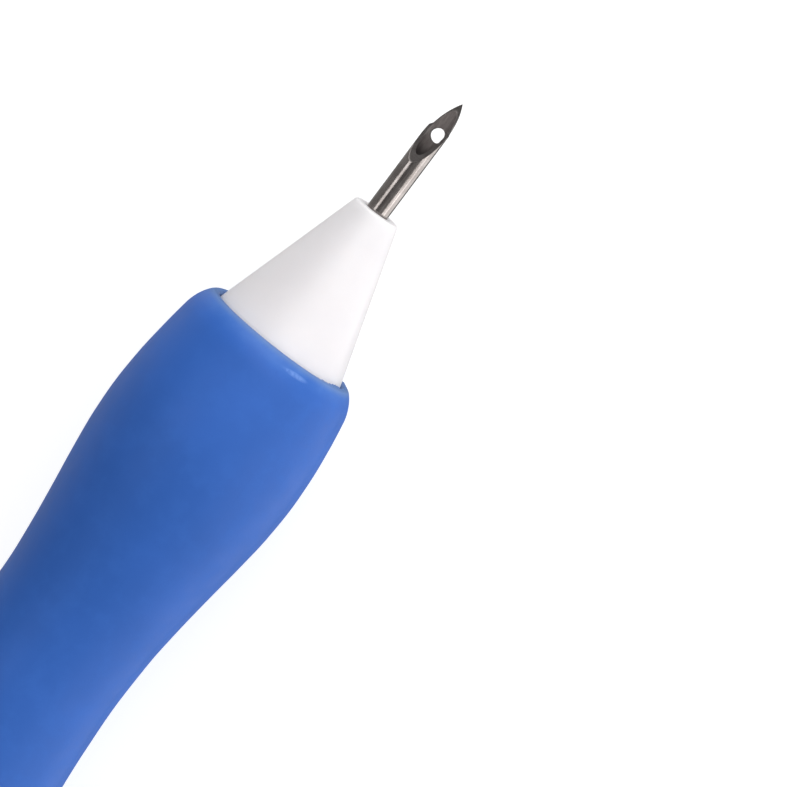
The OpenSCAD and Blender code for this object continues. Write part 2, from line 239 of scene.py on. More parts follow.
class Mat:
    """A small builder for node materials. Coordinates are the row frame's, in millimetres."""

    def __init__(self, name, **values):
        self.mat = bpy.data.materials.new(name)
        self.mat.use_nodes = True
        self.t = self.mat.node_tree
        self.t.nodes.clear()
        self.out = self.t.nodes.new("ShaderNodeOutputMaterial")
        self.p = self.t.nodes.new("ShaderNodeBsdfPrincipled")
        self.link(self.p.outputs[0], self.out.inputs[0])
        for k, v in values.items():
            self.p.inputs[k.replace("_", " ")].default_value = v
        coords = self.t.nodes.new("ShaderNodeTexCoord")
        scale = self.t.nodes.new("ShaderNodeVectorMath")
        scale.operation = "MULTIPLY"
        scale.inputs[1].default_value = (1000, 1000, 1000)
        self.link(coords.outputs["Object"], scale.inputs[0])
        self.mm = scale.outputs[0]
        self.height = None

    def link(self, a, b):
        self.t.links.new(a, b)

    def stretch(self, x, y, z):
        n = self.t.nodes.new("ShaderNodeVectorMath")
        n.operation = "MULTIPLY"
        n.inputs[1].default_value = (x, y, z)
        self.link(self.mm, n.inputs[0])
        return n.outputs[0]

    def noise(self, scale, detail=2.0, rough=0.5, vector=None, distortion=0.0):
        n = self.t.nodes.new("ShaderNodeTexNoise")
        n.inputs["Scale"].default_value = scale
        n.inputs["Detail"].default_value = detail
        n.inputs["Roughness"].default_value = rough
        n.inputs["Distortion"].default_value = distortion
        self.link(vector or self.mm, n.inputs["Vector"])
        return n.outputs["Fac"]

    def voronoi(self, scale, vector=None, feature="F1"):
        n = self.t.nodes.new("ShaderNodeTexVoronoi")
        n.feature = feature
        n.inputs["Scale"].default_value = scale
        self.link(vector or self.mm, n.inputs["Vector"])
        return n.outputs["Distance"]

    def ramp(self, value, lo, hi, to0=0.0, to1=1.0, smooth=True):
        n = self.t.nodes.new("ShaderNodeMapRange")
        n.interpolation_type = "SMOOTHSTEP" if smooth else "LINEAR"
        n.inputs["From Min"].default_value = lo
        n.inputs["From Max"].default_value = hi
        n.inputs["To Min"].default_value = to0
        n.inputs["To Max"].default_value = to1
        self.link(value, n.inputs["Value"])
        return n.outputs[0]

    def math(self, op, a, b):
        n = self.t.nodes.new("ShaderNodeMath")
        n.operation = op
        for i, v in enumerate((a, b)):
            if isinstance(v, (int, float)):
                n.inputs[i].default_value = v
            else:
                self.link(v, n.inputs[i])
        return n.outputs[0]

    def axis(self, which):
        n = self.t.nodes.new("ShaderNodeSeparateXYZ")
        self.link(self.mm, n.inputs[0])
        return n.outputs[which]

    def mix(self, factor, a, b):
        n = self.t.nodes.new("ShaderNodeMix")
        n.data_type = "RGBA"
        if isinstance(factor, (int, float)):
            n.inputs[0].default_value = factor
        else:
            self.link(factor, n.inputs[0])
        for i, v in ((6, a), (7, b)):
            if isinstance(v, tuple):
                n.inputs[i].default_value = (*v, 1)
            else:
                self.link(v, n.inputs[i])
        return n.outputs[2]

    def color(self, value):
        self.link(value, self.p.inputs["Base Color"])

    def roughness(self, value):
        self.link(value, self.p.inputs["Roughness"])

    def bump(self, value, distance_mm, strength=1.0):
        n = self.t.nodes.new("ShaderNodeBump")
        n.inputs["Distance"].default_value = distance_mm * MM
        n.inputs["Strength"].default_value = strength
        self.link(value, n.inputs["Height"])
        if self.height is not None:
            self.link(self.height, n.inputs["Normal"])
        self.height = n.outputs[0]
        self.link(self.height, self.p.inputs["Normal"])


def make_grip():
    m = Mat("blue_soft_touch", IOR=1.45)
    m.p.inputs["Specular IOR Level"].default_value = 0.30
    broad = m.noise(0.085, 3, 0.55)
    cloud = m.noise(0.45, 3, 0.6)
    speck = m.noise(5.0, 2, 0.6)
    base = m.mix(m.ramp(broad, 0.35, 0.68), (0.032, 0.131, 0.508), (0.038, 0.148, 0.570))
    base = m.mix(m.ramp(cloud, 0.4, 0.75, 0.0, 0.30), base, (0.045, 0.167, 0.605))
    base = m.mix(m.ramp(speck, 0.60, 0.80, 0.0, 0.14), base, (0.029, 0.090, 0.370))
    # handled edges: the mouth and the rear rim are a little paler and smoother; the paler colour is partly handling
    # wear and partly a painted highlight along the lip
    x = m.axis(0)
    mouth = m.ramp(x, (X0 / MM) - 1.1, (X0 / MM) + 0.2)
    rear = m.ramp(x, (X0 / MM) - 74.6, (X0 / MM) - 75.9)
    rim = m.math("MULTIPLY", m.math("MAXIMUM", mouth, rear), m.ramp(cloud, 0.3, 0.7, 0.14, 0.36))
    base = m.mix(rim, base, (0.120, 0.275, 0.640))
    # the parting edge of the lip is paler grey, partly rubbed wear and partly a painted highlight on the lip's roll
    y, z = m.axis(1), m.math("SUBTRACT", m.axis(2), ZC / MM)
    out = m.math("SQRT", m.math("ADD", m.math("MULTIPLY", y, y), m.math("MULTIPLY", z, z)), 0.0)
    rub_and_painted_highlight = m.math("MULTIPLY", m.ramp(x, (X0 / MM) - 1.2, (X0 / MM) - 0.2), m.ramp(out, 8.15, 7.6, 0.0, 0.55))
    base = m.mix(rub_and_painted_highlight, base, (0.170, 0.270, 0.470))
    # painted shade: a darker line along the lip's crest, where the mouth's edge falls into shadow
    dark = m.math("MULTIPLY", m.ramp(x, (X0 / MM) - 1.2, (X0 / MM) - 0.2), m.ramp(out, 7.74, 7.5, 0.0, 0.55))
    base = m.mix(dark, base, (0.085, 0.165, 0.370))
    # a short painted highlight spot behind the lip, along the rim
    along = m.math("ADD", m.math("MULTIPLY", m.math("ADD", y, 5.3), -0.78 / 1.2), m.math("MULTIPLY", m.math("SUBTRACT", z, 6.6), -0.63 / 1.2))
    across = m.math("MULTIPLY", m.math("SUBTRACT", x, (X0 / MM) - 0.42), 1 / 0.20)
    far = m.math("ADD", m.math("MULTIPLY", along, along), m.math("MULTIPLY", across, across))
    painted_highlight_spot = m.math("MULTIPLY", m.ramp(far, 1.8, 0.0, 0.0, 0.50), m.ramp(m.noise(2.6, 2, 0.5), 0.30, 0.60, 0.30, 1.0))
    base = m.mix(painted_highlight_spot, base, (0.220, 0.390, 0.820))
    m.color(base)
    rough = m.ramp(cloud, 0.3, 0.75, 0.46, 0.56)
    m.roughness(m.math("SUBTRACT", rough, m.math("MULTIPLY", mouth, 0.10)))
    m.bump(m.noise(7.0, 3, 0.6), 0.0040)
    m.bump(m.noise(0.9, 2, 0.5), 0.010)
    # a few light scuffs along the tool
    scuff = m.noise(1.0, 3, 0.6, m.stretch(0.12, 2.4, 2.4), 0.4)
    m.bump(m.ramp(scuff, 0.66, 0.74), 0.003)
    return m.mat


def make_white():
    m = Mat("white_abs", IOR=1.5)
    m.p.inputs["Subsurface Weight"].default_value = 0.60
    m.p.inputs["Subsurface Radius"].default_value = (1.0, 0.95, 0.92)
    m.p.inputs["Subsurface Scale"].default_value = 0.0022
    cloud = m.noise(0.16, 3, 0.5)
    fine = m.noise(2.4, 3, 0.6)
    base = m.mix(m.ramp(cloud, 0.3, 0.7), (0.856, 0.828, 0.846), (0.884, 0.856, 0.874))
    base = m.mix(m.ramp(fine, 0.66, 0.82, 0.0, 0.05), base, (0.79, 0.76, 0.77))
    m.color(base)
    m.roughness(m.ramp(m.noise(0.22, 2, 0.5), 0.3, 0.75, 0.34, 0.42))
    # a faint flow wave along the moulding and a fine texture
    m.bump(m.noise(0.20, 1, 0.3, m.stretch(0.4, 1.0, 1.0)), 0.050)
    m.bump(m.noise(14.0, 2, 0.5), 0.0005)
    return m.mat


def make_natural():
    m = Mat("natural_acetal", IOR=1.48)
    m.p.inputs["Subsurface Weight"].default_value = 0.2
    m.p.inputs["Subsurface Radius"].default_value = (1.0, 0.95, 0.85)
    m.p.inputs["Subsurface Scale"].default_value = 0.0008
    cloud = m.noise(0.5, 3, 0.5)
    m.color(m.mix(m.ramp(cloud, 0.3, 0.7), (0.78, 0.77, 0.70), (0.84, 0.83, 0.78)))
    # turning marks across the axis
    rings = m.noise(1.0, 2, 0.5, m.stretch(9.0, 0.4, 0.4))
    m.roughness(m.ramp(rings, 0.3, 0.7, 0.30, 0.42))
    m.bump(rings, 0.002)
    return m.mat


def make_steel(name, dark, light, rough0, rough1, along=True, aniso=0.5, metallic=1.0):
    m = Mat(name, Metallic=metallic)
    m.p.inputs["Anisotropic"].default_value = aniso
    lines = m.noise(1.0, 4, 0.65, m.stretch(0.35, 26, 26) if along else m.stretch(30, 0.7, 0.7))
    fine = m.noise(1.0, 3, 0.7, m.stretch(1.1, 70, 70) if along else m.stretch(85, 1.6, 1.6))
    cloud = m.noise(0.8, 3, 0.6)
    stain = m.noise(2.2, 3, 0.6)
    base = m.mix(m.ramp(cloud, 0.3, 0.72), dark, light)
    base = m.mix(m.ramp(lines, 0.42, 0.75, 0.0, 0.45), base, tuple(min(1.0, v * 1.45) for v in light))
    base = m.mix(m.ramp(stain, 0.60, 0.80, 0.0, 0.35), base, tuple(v * 0.62 for v in dark))
    m.color(base)
    m.roughness(m.ramp(lines, 0.3, 0.75, rough0, rough1))
    m.bump(lines, 0.0022)
    m.bump(fine, 0.0010)
    return m.mat


def make_bore():
    """The tube's inside is left as drawn: a dull grey scale, darker in patches, that reflects very little."""
    m = Mat("needle_bore", Metallic=0.35)
    m.p.inputs["Specular IOR Level"].default_value = 0.20
    scale = m.noise(1.0, 3, 0.6, m.stretch(0.8, 4.0, 4.0))
    base = m.mix(m.ramp(scale, 0.3, 0.72), (0.150, 0.130, 0.125), (0.215, 0.190, 0.182))
    base = m.mix(m.ramp(m.noise(3.2, 3, 0.6), 0.60, 0.80, 0.0, 0.4), base, (0.110, 0.096, 0.092))
    # painted shade: darker down the throat of the tube
    throat = m.ramp(m.axis(0), (X0 / MM) + TIP - 4.6, (X0 / MM) + TIP - 6.0, 0.0, 0.78)
    base = m.mix(throat, base, (0.040, 0.035, 0.036))
    m.color(base)
    m.roughness(m.ramp(scale, 0.3, 0.75, 0.46, 0.62))
    m.bump(m.noise(1.0, 3, 0.6, m.stretch(2.0, 12.0, 12.0)), 0.002)
    return m.mat


def make_plate():
    m = Mat("nickel_plate", Metallic=1.0)
    cloud = m.noise(1.6, 3, 0.6)
    m.color(m.mix(m.ramp(cloud, 0.3, 0.7), (0.60, 0.58, 0.55), (0.72, 0.70, 0.67)))
    m.roughness(m.ramp(m.noise(4.0, 3, 0.6), 0.3, 0.75, 0.10, 0.22))
    m.bump(m.noise(1.0, 2, 0.5, m.stretch(40, 3, 3)), 0.0008)
    return m.mat


def make_rubber():
    m = Mat("nitrile_rubber", IOR=1.5)
    m.color(m.mix(m.ramp(m.noise(2.0, 3, 0.6), 0.3, 0.7), (0.012, 0.012, 0.013), (0.028, 0.028, 0.029)))
    m.roughness(m.ramp(m.noise(5.0, 3, 0.6), 0.3, 0.7, 0.45, 0.62))
    m.bump(m.noise(18.0, 2, 0.6), 0.003)
    return m.mat


def make_paint(name, a, b):
    m = Mat(name, IOR=1.5)
    m.color(m.mix(m.ramp(m.noise(3.0, 3, 0.6), 0.3, 0.7), a, b))
    m.roughness(m.ramp(m.noise(6.0, 3, 0.6), 0.3, 0.7, 0.38, 0.52))
    m.bump(m.noise(9.0, 2, 0.6), 0.0015)
    return m.mat


GRIP = make_grip()
WHITE = make_white()
NATURAL = make_natural()
NEEDLE = make_steel("needle_steel", (0.175, 0.156, 0.147), (0.260, 0.238, 0.228), 0.13, 0.24, aniso=0.3)
GROUND = make_steel("needle_ground_face", (0.090, 0.081, 0.078), (0.140, 0.129, 0.125), 0.30, 0.44, along=False, aniso=0.2)
BORE_STEEL = make_bore()
SPRING = make_steel("spring_steel", (0.34, 0.33, 0.32), (0.48, 0.47, 0.46), 0.16, 0.30)
PLATE = make_plate()
RUBBER = make_rubber()
INK = make_paint("pad_print_grey", (0.045, 0.050, 0.062), (0.075, 0.080, 0.095))
BLUE_INK = make_paint("pointer_blue", (0.022, 0.100, 0.460), (0.035, 0.135, 0.560))


def dress(obj, body, slot, *mats):
    which = [p.material_index for p in obj.data.polygons]
    obj.data.materials.clear()
    for m in mats:
        obj.data.materials.append(m)
    obj.data.polygons.foreach_set("material_index", [min(k, len(mats) - 1) for k in which])
    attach(obj, body)
    return obj


# ------------------------------------------------------------------ grip sleeve
BULB, WAIST, LENGTH, MOUTH, BARREL = 9.9, 7.9, 76.0, 6.95, 7.05
stations = [
    (2.2, BULB - 0.95), (5, BULB - 0.5), (8.5, BULB - 0.13), (11.7, BULB),
    (15, BULB - 0.13), (18.5, BULB - 0.5), (23, BULB - 1.1),
    (27, WAIST + 0.43), (31, WAIST + 0.1), (35.5, WAIST),
    (41, WAIST + 0.25), (48, WAIST + 0.9), (55, BULB - 0.35), (61.5, BULB),
    (67, BULB - 0.2), (72, BULB - 0.75), (74, BULB - 1.15),
]


def secant(i):
    return (stations[i + 1][1] - stations[i][1]) / (stations[i + 1][0] - stations[i][0])


def slope(i):
    if i == 0:
        return secant(0)
    if i == len(stations) - 1:
        return secant(i - 1)
    a, b = secant(i - 1), secant(i)
    return 0.0 if a * b <= 0 else 2 * a * b / (a + b)


def grip_radius(d):
    i = max(k for k in range(len(stations) - 1) if stations[k][0] <= d + 1e-9)
    (x0, y0), (x1, y1) = stations[i], stations[i + 1]
    h, t = x1 - x0, (d - x0) / (x1 - x0)
    return ((2 * t**3 - 3 * t**2 + 1) * y0 + (t**3 - 2 * t**2 + t) * h * slope(i)
            + (3 * t**2 - 2 * t**3) * y1 + (t**3 - t**2) * h * slope(i + 1))


profile = [(-1.55, BARREL), (-1.55, MOUTH)]
profile += arc(-0.4, MOUTH + 0.4, 0.4, -0.4, 0, 90, 7)
# the outer corner of the lip is a soft roll, fuller behind than in front
for k in range(1, 24):
    u = math.cos(math.pi / 2 * k / 24)
    w = -2.6 * (1 - u)
    side = grip_radius(2.2) - secant(0) * (w + 2.2)
    profile.append((w, 7.5 + (side - 7.5) * (1 - u * u) ** 0.62))
profile += [(-d, grip_radius(d)) for d in np.arange(3.2, 73.9, 0.8)] + [(-74.0, grip_radius(74.0))]
profile += arc(-LENGTH + 2, BULB - 2.55, -2.0, 1.4, 4, 88, 12)
profile += [(-LENGTH, BARREL + 0.12), (-LENGTH + 0.1, BARREL)]
profile += [(w, BARREL) for w in np.arange(-LENGTH + 3, -1.6, 4.0)]


def grip_shape(w, r, a):
    """The moulded sleeve isn't a perfect solid of revolution: it waves a little."""
    if r <= BARREL + 0.13 and not (w > -1.0):
        return r
    wave = 0.016 * math.sin(2 * a + 0.11 * w) + 0.010 * math.sin(3 * a - 0.23 * w + 1.0)
    if r > 7.6:
        return r + wave * min(1.0, (r - 7.6) / 1.0) - 0.02
    return r


def grip_slide(w, r, a):
    """The soft sleeve's mouth sits a little askew on the barrel, with a ragged thread of flash left on its inner edge."""
    fade = max(0.0, min(1.0, (w + 6.0) / 5.0))
    fade = fade * fade * (3 - 2 * fade)
    skew = (0.285 + 0.22 * math.cos(a) - 0.095 * math.sin(a) + 0.18 * math.exp(-(((a - TAU + 2.05) / 0.42) ** 2))) * fade
    if r < 7.45 and w > -0.5:
        rag = math.sin(31 * a + 2.0 * math.sin(9 * a)) * math.sin(57 * a + 1.3)
        patch = max(0.0, min(1.0, 0.25 - 1.2 * math.cos(a + 0.15 * math.sin(5 * a))))
        patch = max(patch, 0.9 * math.exp(-(((a - 1.40) / 0.30) ** 2)))
        skew += (0.16 + 0.14 * rag) * patch * max(0.0, 1 - abs(r - 7.18) / 0.3)
    return w + skew


grip = lathe("grip_sleeve_skin", profile, 360, grip_shape, 40, slide=grip_slide)
dress(grip, "barrel", "blue_grip", GRIP)
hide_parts("grip_sleeve")

# ------------------------------------------------------------------ nose cone
CONE, RF, RB, SPIGOT, SPR = 14.8, 2.3, 6.8, 7.9, 5.15
points = [
    (CONE, NR + 0.25), (CONE, RF), (0.0, RB), (-1.5, RB), (-1.5, SPR), (-5.4, SPR), (-5.4, 4.5), (-6.3, 4.5), (-6.3, SPR),
    (-SPIGOT - 1.2, SPR), (-SPIGOT - 1.5, SPR - 0.3), (-SPIGOT - 1.5, 3.9), (-SPIGOT - 1.2, 3.7), (1.0, 3.7),
    (CONE - 4.6, NR + 0.6), (CONE - 4.0, NR + 0.1), (CONE - 0.15, NR + 0.1),
]
special = {1: 0.32, 2: 0.28, 3: 0.15, 4: 0.1, 6: 0.05, 7: 0.05, 13: 0.6, 14: 0.2, 15: 0.2, 16: 0.05, 0: 0.04}
cone = lathe("nose_cone_shell", spread(fillet(points, 0.08, special, 6), 0.9), 192, None, 40)
dress(cone, "nose", "white_plastic", WHITE)
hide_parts("nose_cone")

ring = lathe("nose_seal_ring", [(-5.85 + 0.34 * math.cos(TAU * k / 24), 4.85 + 0.34 * math.sin(TAU * k / 24)) for k in range(24)], 128, None, 60)
dress(ring, "nose", "black_rubber", RUBBER)
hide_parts("nose_o_ring")

# ------------------------------------------------------------------ needle tube
WALL, BEVEL, LANCET, EYE_R, EYE_BACK = 0.3, 6.8, 3.4, 0.7, 3.6
BORE = NR - WALL
BACK = (needle_lo.x - X0) / MM
TAN = 2 * NR / BEVEL
HALF = NR - 0.2
SIDE = (LANCET**2 + HALF**2) / HALF / 2
# each side of the point is ground to an arc that runs out in a short shoulder
RUN = ((HALF - 0.1, 0.67), (NR + 0.02, 0.2))


def arc_w(y):
    under = SIDE**2 - (y + SIDE - HALF) ** 2
    return math.sqrt(under) if under > 0 and y < HALF else 0.0


def run_w(y):
    (y0, w0), (y1, w1) = RUN
    return w0 + (w1 - w0) * (y - y0) / (y1 - y0)


lo, hi = RUN[0][0], HALF
for _ in range(60):
    mid = (lo + hi) / 2
    if arc_w(mid) > run_w(mid):
        lo = mid
    else:
        hi = mid
CORNER_Y = lo


def bevel_end(rho, a):
    """a is measured from the bottom of the tube, where the point is."""
    return TIP - (NR - rho * math.cos(a)) / TAN


def lancet_end(rho, a):
    y = abs(rho * math.sin(a))
    return TIP - LANCET + (arc_w(y) if y < CORNER_Y else run_w(y))


def crease(a):
    """Radius at which the ground bevel meets the lancet's side face."""
    lo, hi = BORE, NR
    if lancet_end(hi, a) >= bevel_end(hi, a):
        return NR
    for _ in range(50):
        mid = (lo + hi) / 2
        if lancet_end(mid, a) < bevel_end(mid, a):
            hi = mid
        else:
            lo = mid
    return hi


def make_needle():
    edge = 0.013
    # angles from the bottom, closer together near the point
    first = [math.radians(v) for v in (0, 0.6, 1.5, 3, 5, 7.5, 10, 13, 16, 19, 22, 25, 28, 31, 34, 37, 40, 43, 46, 49, 51, 52.5, 53.6, 55, 57, 59.5, 62, 64.5, 67, 69.5, 72, 74, 76, 77.5, 78.6, 80, 81.5, 83, 84.5, 85.6, 86.6, 88)]
    rest = [math.radians(v) for v in np.arange(90, 180.1, 2.5)]
    half = first + rest
    angles = half + [-v for v in reversed(half[1:-1])]
    rows, kinds = [], []
    deep = TIP - BEVEL - 1.2
    for a in angles:
        rc = crease(a)
        end = lambda rho: min(bevel_end(rho, a), lancet_end(rho, a))
        line = []
        # outer wall, from the rear to the rim
        w_out = end(NR - edge) - edge * 1.2
        for k in range(15):
            line.append((BACK + 0.12 + (deep - BACK - 0.12) * k / 15, NR, 0))
        for k in range(25):
            line.append((deep + (w_out - deep) * k / 24, NR, 0))
        # rim: lancet side, crease, bevel
        outer = NR - edge
        rc = min(rc, outer)
        lower = BORE + edge
        rc = max(rc, lower + 0.01)
        corner = CORNER_Y / max(abs(math.sin(a)), 1e-9)
        if rc + 0.004 < corner < outer - 0.004:
            side = [outer, (outer + corner) / 2, corner, rc]
        else:
            side = [outer + (rc - outer) * k / 3 for k in range(4)]
        line += [(end(rho), rho, 1) for rho in side]
        for k in range(1, 6):
            rho = rc + (lower - rc) * k / 5
            line.append((end(rho), rho, 1))
        w_in = end(lower) - edge * 1.2
        for k in range(25):
            line.append((w_in + (deep - w_in) * k / 24, BORE, 2))
        for k in range(1, 16):
            line.append((deep + (BACK + 0.08 - deep) * k / 15, BORE, 2))
        line.append((BACK, BORE + 0.06, 2))
        line.append((BACK, NR - 0.10, 0))
        rows.append(line)
    m, n = len(rows[0]), len(rows)
    verts, faces, mats = [], [], []
    for a, line in zip(angles, rows):
        for w, rho, _ in line:
            verts.append(pt(w, rho, math.pi - a))
    for j in range(n):
        k = (j + 1) % n
        for i in range(m):
            h = (i + 1) % m
            faces.append((j * m + i, k * m + i, k * m + h, j * m + h))
            mats.append(1 if 40 <= i <= 47 else 2 if i > 47 else 0)
    obj = finish_mesh("needle_tube_ground", verts, faces, 24, face_mats=mats)
    # the eye, a round hole with a polished edge through the wall opposite the bevel
    verts, faces = [], []
    seg = 72
    prof = [(EYE_R, 0.3), (EYE_R, BORE - 0.25), (EYE_R, NR - 0.055), (EYE_R + 0.05, NR + 0.01), (EYE_R + 0.07, NR + 0.4)]
    for q in range(seg):
        t = TAU * q / seg
        for rad, depth in prof:
            verts.append((X0 + (TIP - EYE_BACK + rad * math.cos(t)) * MM, rad * math.sin(t) * MM, ZC - depth * MM))
    c = len(prof)
    for q in range(seg):
        k = (q + 1) % seg
        for i in range(c - 1):
            faces.append((q * c + i, k * c + i, k * c + i + 1, q * c + i + 1))
    faces.append(tuple(q * c for q in range(seg)))
    faces.append(tuple(q * c + c - 1 for q in reversed(range(seg))))
    cutter = finish_mesh("eye_cutter", verts, faces, 30)
    for o in (obj, cutter):
        o.data.materials.append(NEEDLE)
        o.data.materials.append(GROUND)
        o.data.materials.append(BORE_STEEL)
    boolean(obj, cutter)
    return seam(obj, 24)


needle = make_needle()
dress(needle, "needle", "needle_steel", NEEDLE, GROUND, BORE_STEEL)
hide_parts("needle_tube")

# ------------------------------------------------------------------ needle hub
HF = TIP - 30.0
SH = HF - 10.4
CB = SH - 7.5
HB = CB - 5.4
LUG = CB - 3.2
points = [
    (HF, NR + 0.02), (HF, NR + 0.4), (SH, 2.4), (SH, 2.7), (SH - 0.5, 2.66), (CB, 2.33), (CB, 1.85), (HB + 0.6, 1.85), (HB, 1.5), (HB, NR + 0.02),
]
hub = lathe("needle_hub_moulding", spread(fillet(points, 0.06, {1: 0.15, 2: 0.12, 3: 0.1, 5: 0.15, 7: 0.2, 0: 0.02, 9: 0.02}, 5), 0.8), 96, None, 36)
for side in (0, 1):
    lug = block("lug", LUG - 0.7, LUG + 0.7, 1.2, 2.3, 0.6, math.pi / 2 + side * math.pi, 0.12)
    boolean(hub, lug, "UNION")
seam(hub, 36)
dress(hub, "needle", "white_plastic", WHITE)
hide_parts("needle_hub")

# ------------------------------------------------------------------ rear barrel with its six-sided collar
CF, CR, FLAT, CORNER, NECK = -76.05, -80.0, 9.9, 10.9, 5.6


def collar_shape(w, r, a):
    if r < 7.5:
        return r
    q = (math.degrees(a) + 30) % 60 - 30
    flat = FLAT / math.cos(math.radians(q))
    end = min(CF - w, w - CR)
    chamfer = 9.6 + max(0.0, end) / 0.8 * 1.3
    out = soft_min(soft_min(flat, CORNER, 0.5), chamfer, 0.3)
    return min(r, out) if r < 9.5 else out


points = [
    (-62.3, 4.2), (-62.3, NECK - 0.35), (-62.6, NECK - 0.05), (CF, NECK - 0.05), (CF, 8.5), (CF, 9.55),
    (CR, 9.55), (CR, 8.5), (CR, NECK), (-98.8, NECK), (-98.8, 5.0), (-103.2, 5.0), (-103.5, 4.7), (-103.5, 4.2),
]
rows = []
outline = fillet(points, 0.06, {4: 0, 5: 0, 6: 0, 7: 0}, 4)
for i, p in enumerate(outline):
    rows.append(p)
    q = outline[(i + 1) % len(outline)]
    if abs(p[1] - 9.55) < 1e-6 and abs(q[1] - 9.55) < 1e-6:
        for d in (0.04, 0.09, 0.15, 0.22, 0.3, 0.4, 0.52, 0.66, 0.85, 1.1, 1.5):
            rows.append((CF - d, 9.9))
        rows.append(((CF + CR) / 2, 9.9))
        for d in (1.5, 1.1, 0.85, 0.66, 0.52, 0.4, 0.3, 0.22, 0.15, 0.09, 0.04):
            rows.append((CR + d, 9.9))
    else:
        n = max(1, int(math.hypot(q[0] - p[0], q[1] - p[1]) / 1.6))
        rows += [(p[0] + (q[0] - p[0]) * k / n, p[1] + (q[1] - p[1]) * k / n) for k in range(1, n)]
rear = lathe("rear_barrel_moulding", rows, 240, collar_shape, 34)
# the slot the follower pin runs in, with round ends
slot = [(-84.0 + 1.05 * math.cos(t), 1.05 * math.sin(t)) for t in np.linspace(-math.pi / 2, math.pi / 2, 13)]
slot += [(-95.2 + 1.05 * math.cos(t), 1.05 * math.sin(t)) for t in np.linspace(math.pi / 2, 3 * math.pi / 2, 13)]
boolean(rear, prism("slot_cut", slot, 2.0, 7.0))
key = block("key", -77.0, -73.1, 5.0, 6.4, 0.95, 0.0, 0.1)
boolean(rear, key, "UNION")
tri = [(CR + 0.6, 0.0), (CF - 0.9, 1.4), (CF - 0.9, -1.4)]


def rounded_outline(points, radius, n=4):
    return fillet(points, radius, None, n)


boolean(rear, prism("pointer_pocket", rounded_outline(tri, 0.12), FLAT - 0.25, FLAT + 0.6))
seam(rear, 34)
dress(rear, "barrel", "white_plastic", WHITE)
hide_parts("rear_barrel")
inlay = prism("pointer_fill", [((w - (CR + CF) / 2) * 0.97 + (CR + CF) / 2, y * 0.97) for w, y in rounded_outline(tri, 0.12)], FLAT - 0.25, FLAT - 0.06)
dress(inlay, "barrel", "white_plastic", BLUE_INK)

# ------------------------------------------------------------------ depth dial
DF, DB, BAND, FLUTE = -80.6, -98.6, 8.4, 8.7
FLUTES = 24


def flute_cut(w, a):
    """Radius of the nearest ball-nosed flute at this place, or a large number away from it."""
    if w > -89.5:
        return 99.0
    pitch = TAU / FLUTES
    d = (a - pitch / 2) % pitch
    d = min(d, pitch - d)
    ball = w + 90.35
    rad2 = 0.85**2 - (ball * ball if ball > 0 else 0.0)
    s = (FLUTE + 0.45) * math.sin(d)
    if rad2 <= 0 or rad2 <= s * s:
        # distance outside the cut keeps the blend smooth
        return FLUTE + 0.02 + 2.0 * (abs(s) - math.sqrt(max(rad2, 0.0)))
    return (FLUTE + 0.45) * math.cos(d) - math.sqrt(rad2 - s * s)


def dial_shape(w, r, a):
    if r < 8.05:
        return r
    return soft_min(r, flute_cut(w, a), 0.07)


points = [
    (DF, 5.75), (DF, BAND), (-87.45, BAND), (-87.6, BAND - 0.25), (-88.0, BAND - 0.25), (-88.0, FLUTE), (DB, FLUTE), (DB, 5.75),
]
outline = fillet(points, 0.1, {1: 0.35, 2: 0.06, 3: 0.06, 4: 0.06, 5: 0.22, 6: 0.5, 0: 0.12, 7: 0.12}, 5)
rows = []
for i, p in enumerate(outline):
    rows.append(p)
    q = outline[(i + 1) % len(outline)]
    long = math.hypot(q[0] - p[0], q[1] - p[1])
    step = 0.8
    if p[1] > 8.6 and q[1] > 8.6 and long > 2:
        ws = [v for v in (-88.8, -89.3, -89.45, -89.5, -89.55, -89.62, -89.72, -89.85, -90.0, -90.18, -90.4, -90.8, -91.5, -92.5, -93.5, -94.5, -95.5, -96.5, -97.4) if q[0] < v < p[0]]
        rows += [(v, FLUTE) for v in ws]
        continue
    n = max(1, int(long / step))
    rows += [(p[0] + (q[0] - p[0]) * k / n, p[1] + (q[1] - p[1]) * k / n) for k in range(1, n)]
dial = lathe("depth_dial_moulding", rows, 480, dial_shape, 34)


def cam_cutter():
    """The helical cam groove inside the dial; the follower pin's way in is cut after it."""
    steps, verts, faces = 66, [], []
    start, turn, half = math.radians(-90), math.radians(330), 1.05
    section = [(-half, 4.6), (-half, 7.05), (-half + 0.12, 7.15), (half - 0.12, 7.15), (half, 7.05), (half, 4.6)]
    for k in range(steps + 1):
        t = k / steps
        a = start + turn * t
        w = -84.1 - (a - start) / TAU * 12.0
        for dw, r in section:
            verts.append(pt(w + dw, r, a))
    m = len(section)
    for k in range(steps):
        for i in range(m):
            h = (i + 1) % m
            faces.append((k * m + i, (k + 1) * m + i, (k + 1) * m + h, k * m + h))
    faces.append(tuple(range(m)))
    faces.append(tuple(reversed(range(steps * m, steps * m + m))))
    return finish_mesh("cam_cutter", verts, faces, 30)


boolean(dial, cam_cutter())
boolean(dial, block("way_in", -84.3, -79.0, 4.6, 7.1, 1.05, math.radians(-90)))


def rod(name, a, w, radius, lo, hi, seg=32):
    verts, faces = [], []
    up = np.array([0, -math.sin(a), math.cos(a)])
    side = np.array([0, -math.cos(a), -math.sin(a)])
    base = np.array([X0 + w * MM, 0, ZC])
    for k in range(seg):
        t = TAU * k / seg
        for r in (lo, hi):
            verts.append(base + up * r * MM + side * radius * math.sin(t) * MM + np.array([radius * math.cos(t) * MM, 0, 0]))
    faces = [(2 * k, 2 * ((k + 1) % seg), 2 * ((k + 1) % seg) + 1, 2 * k + 1) for k in range(seg)]
    faces += [tuple(2 * k for k in range(seg)), tuple(2 * k + 1 for k in reversed(range(seg)))]
    return finish_mesh(name, verts, faces, 30)


# the groove's two ends are round
boolean(dial, rod("groove_start", math.radians(-90), -84.1, 1.05, 4.6, 7.15))
boolean(dial, rod("groove_end", math.radians(240), -95.1, 1.05, 4.6, 7.15))

